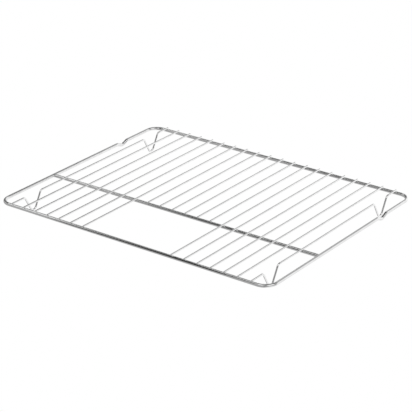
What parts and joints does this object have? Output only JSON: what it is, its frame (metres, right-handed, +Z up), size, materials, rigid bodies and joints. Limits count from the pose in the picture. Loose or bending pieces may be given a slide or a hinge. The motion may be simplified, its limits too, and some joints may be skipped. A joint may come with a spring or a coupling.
{
  "type": "cooling rack",
  "caption": "Chromed wire cooling rack: straight cross wires on a rounded wire rim and a cross bar, with a hand gap at the front and V-bent wire feet.",
  "frame": {"origin": "middle of the rack's footprint, on the surface that the feet stand on", "axes": "+X along the rack's length, +Y from the front side with the hand gap to the back, +Z up"},
  "size_m": [0.432, 0.33, 0.025],
  "materials": {
    "chrome": "bright chrome plate over drawn and welded steel wire"
  },
  "bodies": {
    "root": {"rim_frame": "chrome", "cross_bar": "chrome", "foot_wire_left": "chrome", "foot_wire_right": "chrome", "long_wire_left_1": "chrome", "long_wire_left_2": "chrome", "long_wire_left_3": "chrome", "long_wire_left_4": "chrome", "long_wire_left_5": "chrome", "long_wire_left_6": "chrome", "long_wire_right_1": "chrome", "long_wire_right_2": "chrome", "long_wire_right_3": "chrome", "long_wire_right_4": "chrome", "long_wire_right_5": "chrome", "long_wire_right_6": "chrome", "short_wire_1": "chrome", "short_wire_2": "chrome", "short_wire_3": "chrome", "short_wire_4": "chrome", "short_wire_5": "chrome", "short_wire_6": "chrome"}
  },
  "joints": []
}
